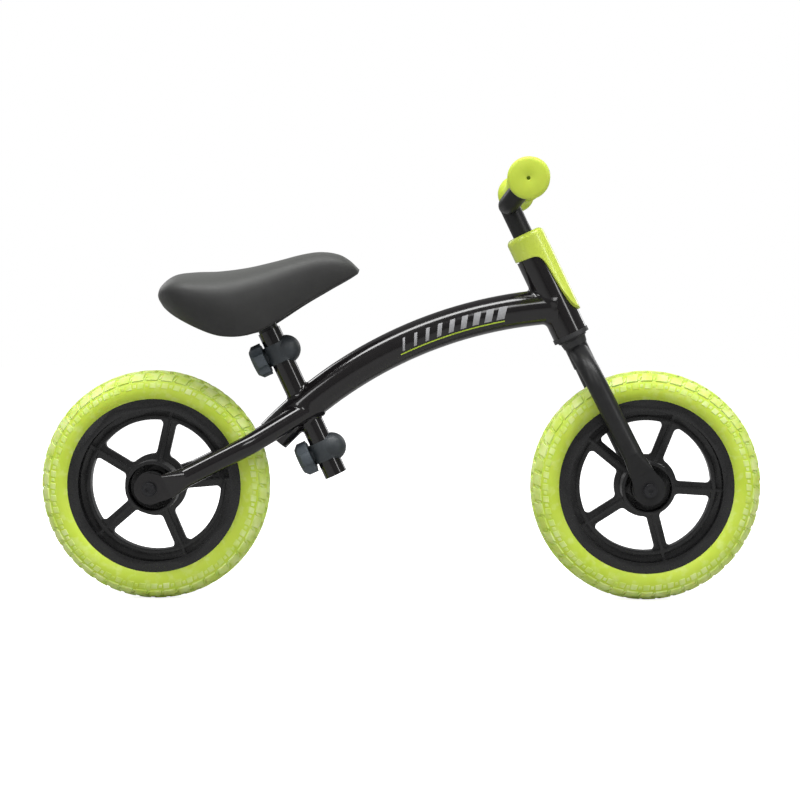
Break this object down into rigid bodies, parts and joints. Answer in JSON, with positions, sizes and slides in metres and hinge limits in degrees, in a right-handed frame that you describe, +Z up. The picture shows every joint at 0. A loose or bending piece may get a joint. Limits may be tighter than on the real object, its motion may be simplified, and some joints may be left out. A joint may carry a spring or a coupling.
{
  "type": "balance bike",
  "caption": "Child's balance bike with a curved main tube, steered front wheel, foam-tyred spoked wheels, adjustable saddle and handlebar.",
  "frame": {"origin": "on the ground, midway between the two axles, in the bike's centre plane", "axes": "+X forward, +Y to the rider's left, +Z up"},
  "size_m": [0.796, 0.364, 0.4842],
  "materials": {
    "gloss_black_paint": "gloss black powder coat",
    "satin_black_paint": "satin black powder coat",
    "black_nylon": "matt moulded nylon",
    "clamp_plastic": "matt moulded plastic",
    "knob_plastic": "fine textured grey plastic",
    "zinc_steel": "bright zinc plate",
    "black_steel": "black oxide",
    "brass_insert": "turned",
    "rim_plastic": "spark-eroded matt plastic",
    "lime_foam_tyre": "matt moulded foam",
    "lime_rubber": "satin soft rubber",
    "lime_plastic": "satin moulded plastic",
    "seat_foam": "matt integral-skin foam"
  },
  "bodies": {
    "frame": {"main_tube": "gloss_black_paint", "rear_end_plug": "black_nylon", "head_tube": "gloss_black_paint", "seat_tube": "gloss_black_paint", "left_stay": "gloss_black_paint", "right_stay": "gloss_black_paint", "lower_bush": "black_nylon", "upper_bush": "black_nylon", "head_cover": "lime_plastic", "upper_clamp_collar": "clamp_plastic", "lower_clamp_collar": "clamp_plastic", "upper_clamp_bolt": "zinc_steel", "lower_clamp_bolt": "zinc_steel", "rear_axle": "zinc_steel", "rear_spacers": "zinc_steel", "rear_washers": "black_steel", "rear_axle_bolts": "black_steel"},
    "fork": {"steerer": "satin_black_paint", "crown_race": "black_nylon", "lock_ring": "zinc_steel", "stem_clamp": "zinc_steel", "stem_clamp_screw": "zinc_steel", "left_fork_leg": "satin_black_paint", "right_fork_leg": "satin_black_paint", "front_axle": "zinc_steel", "front_spacers": "zinc_steel", "front_washers": "black_steel", "front_axle_bolts": "black_steel"},
    "handlebar": {"stem": "satin_black_paint", "crossbar": "satin_black_paint", "left_grip": "lime_rubber", "right_grip": "lime_rubber"},
    "seat": {"seat_post": "satin_black_paint", "seat_bracket": "satin_black_paint", "seat_bolts": "black_steel", "seat_pan": "black_nylon", "seat_cover": "seat_foam"},
    "front_wheel": {"front_tyre": "lime_foam_tyre", "front_rim": "rim_plastic", "front_bearings": "zinc_steel"},
    "rear_wheel": {"rear_tyre": "lime_foam_tyre", "rear_rim": "rim_plastic", "rear_bearings": "zinc_steel"},
    "upper_clamp_knob": {"upper_knob": "knob_plastic", "upper_knob_insert": "brass_insert"},
    "lower_clamp_knob": {"lower_knob": "knob_plastic", "lower_knob_insert": "brass_insert"}
  },
  "joints": [
    {"name": "steering", "type": "hinge", "parent": "frame", "child": "fork", "pos_m": [0.18938, 0, 0.29059], "axis": [-0.4337, 0, 0.9011], "range_deg": [-60, 60]},
    {"name": "front_wheel_spin", "type": "hinge", "parent": "fork", "child": "front_wheel", "pos_m": [0.271, 0, 0.127], "axis": [0, 1, 0], "continuous": true},
    {"name": "rear_wheel_spin", "type": "hinge", "parent": "frame", "child": "rear_wheel", "pos_m": [-0.271, 0, 0.127], "axis": [0, 1, 0], "continuous": true},
    {"name": "bar_height", "type": "slide", "parent": "fork", "child": "handlebar", "axis": [-0.4337, 0, 0.9011], "range_m": [0, 0.04]},
    {"name": "seat_height", "type": "slide", "parent": "frame", "child": "seat", "axis": [-0.421, 0, 0.907], "range_m": [0, 0.0427]},
    {"name": "upper_knob_turn", "type": "hinge", "parent": "frame", "child": "upper_clamp_knob", "pos_m": [-0.13381, 0, 0.27345], "axis": [0.907, 0, 0.421], "continuous": true},
    {"name": "lower_knob_turn", "type": "hinge", "parent": "frame", "child": "lower_clamp_knob", "pos_m": [-0.08371, 0, 0.16551], "axis": [0.907, 0, 0.421], "continuous": true}
  ]
}
